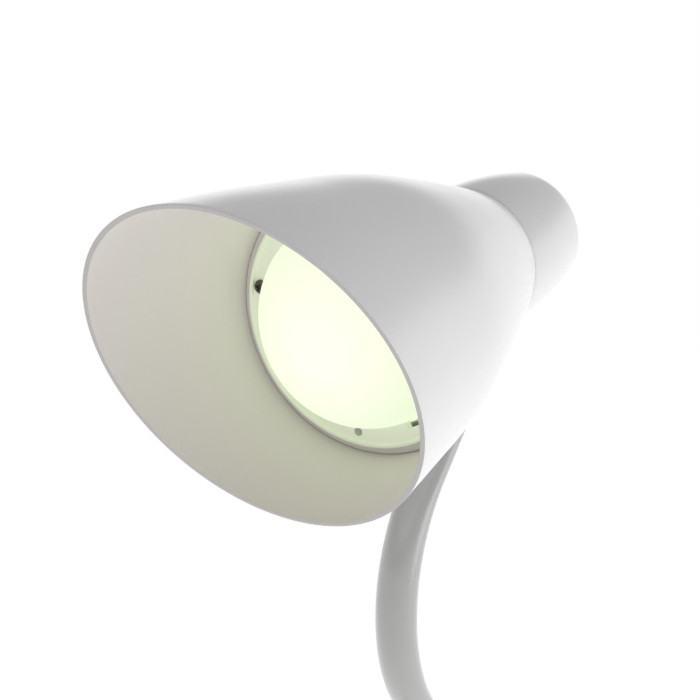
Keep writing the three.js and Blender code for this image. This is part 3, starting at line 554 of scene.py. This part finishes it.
# %% Cap and button
cap_outline = [
    (7.1, 99.9), (16.2, 99.9), (16.2, 93.9), (17.7, 93.9), (17.7, 101.2), (17.5, 101.7), (17.0, 102.0),
    (16.0, 102.1), (9.4, 102.1), (8.6, 101.6), (7.6, 101.5), (7.1, 101.3),
]
cap = turned("cap", cap_outline, 96)
fit(place(cap, HEAD @ BACKWARDS), "head", ["rear_cap"], white_gloss)
button_outline = [
    (0, 95.6), (2.2, 95.6), (2.2, 98.2), (8.2, 98.2), (8.2, 99.6), (6.8, 99.6), (6.8, 103.9), (6.6, 104.4),
    (6.2, 104.75), (5.6, 104.85), (4.6, 104.6), (3.0, 104.3), (1.5, 104.15), (0, 104.1),
]
button = turned("button", button_outline, 72)
fit(place(button, HEAD @ BACKWARDS), "button", ["power_button"], grey_satin)

# %% [markdown]
# ## The light
# An opal dome stands in a satin ring plate, and a faint painted glow on the plate stands in for the dome's
# light on it. Outside the plate's raised lip, a thin ledge reaches out to the shade and takes the shade's
# inside finish. The plate has two pan screws, two moulded dimples painted darker grey as painted shade in
# their hollows, and a notch that the dome's key drops into.

# %% Dome and ring plate


def dome_side(radius, height, steps=28):
    angles = [pi / 2 * i / steps for i in range(steps + 1)]
    return [(radius * cos(a) if i < steps else 0, -height * sin(a)) for i, a in enumerate(angles)]


dome_outline = dome_side(32, 26)[::-1] + [(32, 2.3), (33, 2.3), (33, 3.9), (30.4, 3.9)]
dome = turned("dome", dome_outline + dome_side(30.4, 24.4), 128)
fit(place(dome, HEAD @ BACKWARDS), "head", ["diffuser_dome"], opal_lit)

ring_outline = [(32.3, 0), (37.4, 0), (37.7, -0.1), (37.8, -0.5), (37.8, -1.1), (38.0, -1.35), (38.6, -1.35),
                (38.9, -1.1), (39, 0.8), (39.2, 1.0), (41.3, 1.0), (41.1, 2), (32.3, 2)]
ring = turned("ring", ring_outline, 128)
PLATE_RADIUS = 39.1
SCREW_CIRCLE = 35.3
SCREW_ANGLES = (-98.7, 81.3)
DIMPLE_ANGLES = (-4.5, 175.5)


def on_circle(obj, radius, degrees):
    """Turns a piece made at the middle out to its place round the ring."""
    across, down = radius * sin(radians(degrees)), radius * cos(radians(degrees))
    return place(obj, Matrix.Translation(Vector((across, down, 0)) * MM))


for degrees in SCREW_ANGLES:
    hole = turned("hole", [(0, -5), (1.3, -5), (1.3, 5), (0, 5)], 32)
    combine(ring, on_circle(hole, SCREW_CIRCLE, degrees), "DIFFERENCE")
for degrees in DIMPLE_ANGLES:
    dimple = turned("dimple", [(0, -2), (1.35, -2), (1.35, 0), (1.0, 0.5), (0.4, 0.8), (0, 0.85)], 32)
    combine(ring, on_circle(dimple, SCREW_CIRCLE, degrees), "DIFFERENCE")
bpy.ops.object.select_all(action="DESELECT")
bpy.ops.mesh.primitive_cube_add(size=1, location=(0, 33.1 * MM, 0))
notch = bpy.context.object
notch.scale = Vector((4, 2.8, 12)) * MM
place(notch, Matrix.Rotation(radians(-28.5), 4, "Z") @ notch.matrix_basis)
combine(ring, notch, "DIFFERENCE")
round_edges(ring, 0.15, 2, 40)
dimple_middles = [SCREW_CIRCLE * Vector((sin(radians(a)), cos(radians(a)), 0)) for a in DIMPLE_ANGLES]
ring_faces = []
for face in ring.data.polygons:
    out = Vector((face.center.x, face.center.y, 0)) / MM
    nearest = min((out - middle).length for middle in dimple_middles)
    # Dimple faces take the painted shade grey, which stands in for the shade inside the hollows.
    in_dimple = nearest < 1.3 and 0.1 < face.center.z / MM < 1.2
    ring_faces.append(2 if in_dimple else int(out.length > PLATE_RADIUS))
fit(place(ring, HEAD @ BACKWARDS), "head", ["led_carrier_ring"], ring_satin_painted_glow)
ring.data.materials.append(satin_inside)
ring.data.materials.append(painted_shade_grey)
for face, which in zip(ring.data.polygons, ring_faces):
    face.material_index = which
print("ring faces, plate, ledge and dimples:", [ring_faces.count(i) for i in range(3)])

# %% [markdown]
# ## Screws
# All four screws are pan heads with a cross recess. Each is turned and has its recess cut, at its own size.

# %% Screws


def screw(name, head, height, shank, length):
    """A pan-head screw along Z, with the underside of its head at zero."""
    outline = [
        (0, -height), (0.35 * head, -0.97 * height), (0.65 * head, -0.85 * height),
        (0.9 * head, -0.5 * height), (head, -0.15 * height), (head, 0), (shank, 0),
    ]
    turns = int(length / 0.8)
    for i in range(turns):
        outline += [(shank, (i + 0.35) * length / turns), (shank - 0.15, (i + 0.65) * length / turns)]
    obj = turned(name, outline + [(0.6 * shank, length), (0, length)], 40)
    for width, depth in ((1.15, 0.24), (0.24, 1.15)):
        bpy.ops.object.select_all(action="DESELECT")
        bpy.ops.mesh.primitive_cube_add(size=1, location=(0, 0, -height * MM))
        slot = bpy.context.object
        slot.scale = Vector((width * head, depth * head, 1.1 * height)) * MM
        combine(obj, place(slot, slot.matrix_basis.copy()), "DIFFERENCE")
    return obj


for i, degrees in enumerate(SCREW_ANGLES, 1):
    ring_screw = screw(f"ring_screw_{i}", 2.2, 1.4, 1.0, 9)
    turn = Matrix.Rotation(radians(25 * i), 4, "Z")
    place(ring_screw, Matrix.Translation(Vector((0, 0, -0.3)) * MM) @ turn)
    place(on_circle(ring_screw, SCREW_CIRCLE, degrees), HEAD @ BACKWARDS)
    fit(ring_screw, "head", [f"carrier_screw_{i}"], dark_steel)
for i, x in enumerate((-12.5, 12.5), 1):
    cover_screw = screw(f"clip_screw_{i}", 2.6, 1.4, 1.2, 12)
    turn = Matrix.Rotation(radians(20 * i), 4, "Z")
    place(cover_screw, FOOT @ Matrix.Translation(Vector((x, 9, 2.7)) * MM) @ turn)
    fit(cover_screw, "clip", [f"cover_screw_{i}"], plated_steel)

# %% [markdown]
# ## The gooseneck
# The arm is a spiral steel core in a smooth sleeve, with the supply lead down its middle. Each length is
# turned straight and bent along the arm's curve by a Curve modifier. The curve is drawn lying flat, because
# a curve that runs straight up gives the modifier no steady sideways direction, and each piece is stood up
# afterwards.

# %% Gooseneck
LEAD_IN = 20.0
UPRIGHT = Matrix(((0, 0, 1, 0), (1, 0, 0, 0), (0, 1, 0, 0), (0, 0, 0, 1)))
bpy.ops.object.select_all(action="DESELECT")
path_data = bpy.data.curves.new("arm_path", "CURVE")
path_data.dimensions = "3D"
path_data.twist_mode = "TANGENT"
path_spline = path_data.splines.new("POLY")
path_points = [arm_at(-LEAD_IN + i)[0] for i in range(int(ARM_LENGTH + LEAD_IN) + 2)]
path_spline.points.add(len(path_points) - 1)
for point, where in zip(path_spline.points, path_points):
    point.co = (where.y, where.z, 0, 1)
arm_path = bpy.data.objects.new("arm_path", path_data)
bpy.context.scene.collection.objects.link(arm_path)


def arm_tube(name, outline, segments):
    """A straight turned piece, with heights in mm along the arm, bent to the arm's curve."""
    obj = turned(name, [(r, z + LEAD_IN) for r, z in outline], segments)
    modify(obj, "CURVE", object=arm_path, deform_axis="POS_Z")
    place(obj, UPRIGHT)
    tidy_mesh(obj, 1e-6)
    return obj


def stations(start, end, spacing):
    count = max(2, round((end - start) / spacing))
    return [start + (end - start) * i / count for i in range(count + 1)]


def tube_outline(start, end, outer, inner, ribbed=False):
    """An open-ended tube's outline, with its outside ribbed like a wound spiral if asked."""
    side = [(outer, z) for z in stations(start, end, 1.5)]
    if ribbed:
        side = []
        for z in stations(start, end - 1.2, 2.4)[:-1]:
            side += [(outer, z), (outer, z + 1.3), (outer - 0.35, z + 1.6), (outer - 0.35, z + 2.1)]
        side.append((outer, end))
    return side + [(inner, z) for z in stations(start, end, 1.5)][::-1]


SLEEVE_END = ARM_LENGTH - 17.6
joins = [0.0] + [(a + b) / 2 for a, b in zip(BENDS, BENDS[1:])] + [SLEEVE_END]
covers = [("1",), ("2",), ("3", "4")]
for i, (start, end) in enumerate(zip(joins, joins[1:])):
    lead_start = -16.0 if i == 0 else start
    lead_end = ARM_LENGTH - 4.5 if i == 2 else end
    lead_side = [(1.7, z) for z in stations(lead_start, lead_end, 2.0)]
    sleeve_outline = tube_outline(start, end, 6.55, 5.2)
    core_outline = tube_outline(start, end, 4.9, 2.4, True)
    lead_outline = [(0, lead_start)] + lead_side + [(0, lead_end)]
    pieces = [
        ("sleeve", sleeve_outline, 64, "arm_sleeve", sleeve_silicone, "gooseneck_sleeve_"),
        ("core", core_outline, 32, "bright_steel", plated_steel, "gooseneck_core_"),
        ("lead", lead_outline, 20, "black_plastic", black_plastic, "supply_lead_"),
    ]
    for kind, outline, segments, slot_name, finish, node in pieces:
        tube = arm_tube(f"{kind}_{i + 1}", outline, segments)
        fit(tube, None, [node + number for number in covers[i]], finish)
        arm_at(BENDS[i] - 19)[0]
        arm_at(BENDS[i] + 19)[0]
        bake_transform(tube)
bpy.data.objects.remove(arm_path)

# %% [markdown]
# ## Ferrules and nuts
# A ferrule holds each end of the gooseneck: a cup for the sleeve, a flange, and a threaded shank with a
# nut. The upper one is also the swivel that the head turns on.

# %% Ferrules and nuts


def ferrule(name, shank, shank_length, flange, cup, height):
    thread = []
    turns = int(shank_length / 1.0)
    for i in range(turns):
        z = -shank_length * (1 - (i + 0.2) / turns)
        thread += [(shank, z), (shank - 0.35, z + 0.45 * shank_length / turns)]
    outline = [(2.4, -shank_length), (shank - 0.4, -shank_length)] + thread + [
        (shank, 0), (flange - 0.3, 0), (flange, 0.3), (flange, 1.2), (flange - 0.25, 1.7), (flange - 0.7, 2),
        (cup + 0.5, 2), (cup + 0.12, 2.15), (cup, 2.6),
        (cup - 0.45, height - 0.9), (cup - 0.6, height - 0.35),
        (cup - 0.9, height - 0.05), (7.0, height), (6.85, height - 0.2), (6.85, 4), (2.4, 4),
    ]
    return turned(name, outline, 96)


def hex_nut(name, corner, bore, bottom):
    """A hexagon nut, chamfered where its corners meet its faces."""
    obj = turned(name, [(0, bottom), (corner, bottom), (corner, bottom + 3), (0, bottom + 3)], 6)
    flat = corner * cos(pi / 6)
    round_off = turned("round_off", [
        (0, bottom - 0.01), (flat, bottom - 0.01), (corner + 0.1, bottom + 0.7), (corner + 0.1, bottom + 2.3),
        (flat, bottom + 3.01), (0, bottom + 3.01),
    ], 64)
    combine(obj, round_off, "INTERSECT")
    hole = [(0, bottom - 1), (bore, bottom - 1), (bore, bottom + 4), (0, bottom + 4)]
    return combine(obj, turned("hole", hole, 48), "DIFFERENCE")


base = place(ferrule("base", 6.0, 7.7, 11.0, 8.6, 18), FOOT @ Matrix.Translation((0, 0, 27.3 * MM)))
fit(base, "clip", ["base_ferrule"], white_gloss)
swivel = ferrule("swivel", 4.6, 7.8, 9.0, 8.2, 13)
place(swivel, ARM_END @ Matrix.Translation((0, 0, 13.3 * MM)))
fit(swivel, "arm_top", ["neck_ferrule"], white_gloss)
base_nut = place(hex_nut("base_nut", 9.0, 6.3, 21.3), FOOT)
fit(base_nut, "clip", ["base_ferrule_nut"], plated_steel)
swivel_nut = place(hex_nut("swivel_nut", 6.7, 4.9, 6.7), ARM_END)
fit(swivel_nut, "arm_top", ["neck_ferrule_nut"], plated_steel)

# %% [markdown]
# ## The clip
# The clip is two jaws on a pin. Their shells are moulded with even walls, so the CAD solids already have
# the right faces. Copies of them get rounded edges, which is what makes a moulding catch the light.

# %% Clip shells and pads
for name, node, body, slot_name, finish, width in (
    ("clip_shell", "clip_body", "clip", "white_shell", white_gloss, 0.8),
    ("clip_floor", "clip_cover", "clip", "white_shell", white_gloss, 0.3),
    ("clip_jaw", "clip_lever", "lever", "white_shell", white_gloss, 0.6),
    ("pad_top", "upper_pad", "clip", "grip_pad", pad_rubber, 0.5),
    ("pad_bottom", "lower_pad", "lever", "grip_pad", pad_rubber, 0.5),
):
    fit(round_edges(cad_copy(name, node), width, 3, 30), body, [node], finish)

# %% [markdown]
# ## Pin and springs
# The pin has a domed head on one side and a push-on ring on the other. The spring coils round it, with
# one leg on each grip.

# %% Pin and springs
ALONG_PIN = FOOT @ Matrix.Translation(Vector((0, 20, -6)) * MM) @ Matrix.Rotation(radians(90), 4, "Y")
pin_outline = [
    (0, -22.1), (1.5, -22.05), (2.8, -21.85), (3.6, -21.5), (4, -21.0), (4, -20.3), (2.5, -20.3), (2.5, 22.2),
    (2.3, 22.55), (2.0, 22.7), (0, 22.7),
]
fit(place(turned("pin", pin_outline, 64), ALONG_PIN), "clip", ["pivot_pin"], plated_steel)
washer_outline = [(2.8, 20.3), (4.0, 20.3), (4.2, 20.5), (4.2, 21.0), (3.9, 21.3), (3.2, 21.1), (2.8, 20.9)]
washer = place(turned("washer", washer_outline, 64), ALONG_PIN)
fit(washer, "clip", ["pin_retainer"], plated_steel)

jaw_spring = cad_copy("jaw_spring", "clip_spring")
modify(jaw_spring, "SUBSURF", levels=1, render_levels=1)
fit(jaw_spring, None, ["clip_spring"], plated_steel)
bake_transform(jaw_spring)
push_spring = cad_copy("push_spring", "button_spring")
modify(push_spring, "SUBSURF", levels=1, render_levels=1)
fit(push_spring, "head", ["button_spring"], plated_steel)
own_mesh(push_spring)

# %% [markdown]
# ## Power inlet
# The supply comes in through a small round socket above the fixed grip, with a steel pin down its middle.

# %% Inlet
INLET = FOOT @ Matrix.Translation(Vector((0, 0, 19)) * MM) @ BACKWARDS
socket_outline = [
    (0, 13.5), (4.4, 13.5), (4.6, 13.7), (4.6, 24.3), (5.8, 24.3), (5.8, 25.1), (5.5, 25.5), (3.6, 25.5),
    (3.1, 25.0), (3.1, 15.0), (0, 15.0),
]
socket = place(turned("socket", socket_outline, 72), INLET)
fit(socket, "clip", ["inlet_socket"], black_plastic)
contact_outline = [(0, 15.3), (1, 15.3), (1, 23.4), (0.85, 23.8), (0.5, 24.05), (0, 24.1)]
contact = place(turned("contact", contact_outline, 32), INLET)
fit(contact, "clip", ["inlet_pin"], plated_steel)

# %% [markdown]
# ## Inside the head
# Behind the light are the LED board, the aluminium plate that carries its heat to the shade, the driver
# and its wires. Sheet pieces get a slight edge, and the wound choke and the can get their real outlines.

# %% Inner pieces
for name, node, slot_name, finish, width in (
    ("light_board", "led_board", "white_board", white_board, 0.15),
    ("heat_plate", "heat_spreader", "bare_aluminium", stamped_aluminium, 0.2),
    ("driver", "driver_board", "green_board", green_board, 0.15),
    ("switch", "switch_body", "black_plastic", black_plastic, 0.5),
    ("feed_wire", "head_lead", "black_plastic", black_plastic, 0.1),
    ("plus_wire", "led_wire_positive", "red_insulation", red_cover, 0.05),
    ("minus_wire", "led_wire_negative", "black_plastic", black_plastic, 0.05),
):
    fit(round_edges(cad_copy(name, node), width, 2, 50), "head", [node], finish)
fit(cad_copy("clip_wire", "base_lead"), "clip", ["base_lead"], black_plastic)
for i in range(1, 7):
    chip = round_edges(cad_copy(f"chip_{i}", f"led_{i}"), 0.15, 2, 50)
    fit(chip, "head", [f"led_{i}"], phosphor_lit)

winding = [(0, 0), (4.4, 0), (4.5, 0.2), (4.5, 0.9), (3.7, 1.0)]
for i in range(9):
    z = 1.25 + i * 0.65
    winding += [(3.8, z - 0.2), (4.05, z), (3.8, z + 0.2)]
winding += [(3.7, 7.0), (4.5, 7.1), (4.5, 7.8), (4.4, 8), (0, 8)]
choke = place(turned("choke", winding, 48), HEAD @ Matrix.Translation(Vector((-6, 60, 3.9)) * MM))
fit(choke, "head", ["driver_choke"], copper_winding)
can = [
    (0, 0), (3.6, 0), (3.8, 0.2), (3.8, 1.0), (3.55, 1.3), (3.8, 1.6),
    (3.8, 8.7), (3.5, 9), (3.2, 8.8), (0, 8.8),
]
capacitor = place(turned("capacitor", can, 48), HEAD @ Matrix.Translation(Vector((6, 71, 3.9)) * MM))
fit(capacitor, "head", ["driver_capacitor"], black_plastic)

# %% [markdown]
# ## Floor and light
# The lamp is shown in a pale studio. The floor glows a little, as a lit sweep of paper does, so it fills
# from below. The surround is bright at the horizon and dimmer overhead, most of all in front, which gives
# a white shell soft grey faces and bright edges. One softbox at the right makes the broad highlight.

# %% Floor
bpy.ops.object.select_all(action="DESELECT")
bpy.ops.mesh.primitive_plane_add(size=14, location=(0, 0, cad_box[0][2] - 0.0005))
floor = bpy.context.object
floor.name = "floor"
paper = moulded("floor_paper", (0.9, 0.9, 0.9), (0.88, 0.88, 0.88), 0.8, 200.0, 0.02)
paper.node_tree.nodes["Principled BSDF"].inputs["Emission Color"].default_value = (1, 1, 1, 1)
paper.node_tree.nodes["Principled BSDF"].inputs["Emission Strength"].default_value = 0.61
floor.data.materials.append(paper)

# %% Surround
world = bpy.data.worlds.new("studio")
bpy.context.scene.world = world
world.use_nodes = True
sky = Wire(world.node_tree, world.node_tree.nodes.new("ShaderNodeTexCoord").outputs["Generated"])
soft = {"interpolation_type": "SMOOTHSTEP"}
height = sky.node("VectorMath", {"operation": "DOT_PRODUCT"}, {0: sky, 1: (0, 0, 1)}, 1)
facing = sky.node("VectorMath", {"operation": "DOT_PRODUCT"}, {0: sky, 1: (0.2, -0.85, 0.48)}, 1)
overhead = sky.node("MapRange", soft, {0: facing, 1: -0.3, 2: 0.6, 3: 0.57, 4: 0.34})
tone = sky.node("MapRange", soft, {0: height, 1: 0.02, 2: 0.28, 3: 1.0, 4: overhead})
background = world.node_tree.nodes["Background"]
background.inputs["Color"].default_value = (1, 1, 1, 1)
world.node_tree.links.new(tone.socket, background.inputs["Strength"])
bpy.context.scene.view_settings.view_transform = "Standard"


def softbox(name, where, towards, size, power):
    data = bpy.data.lights.new(name, "AREA")
    data.size = size
    data.energy = power
    lamp = bpy.data.objects.new(name, data)
    bpy.context.scene.collection.objects.link(lamp)
    lamp.location = where
    lamp.rotation_euler = (Vector(towards) - Vector(where)).to_track_quat("-Z", "Y").to_euler()


middle = HEAD.translation
softbox("right_softbox", (0.9, 0.3, 0.15), middle, 0.6, 1.7)

# %% [markdown]
# ## Closing
# The view layer is brought up to date.

# %% Update
bpy.context.view_layer.update()
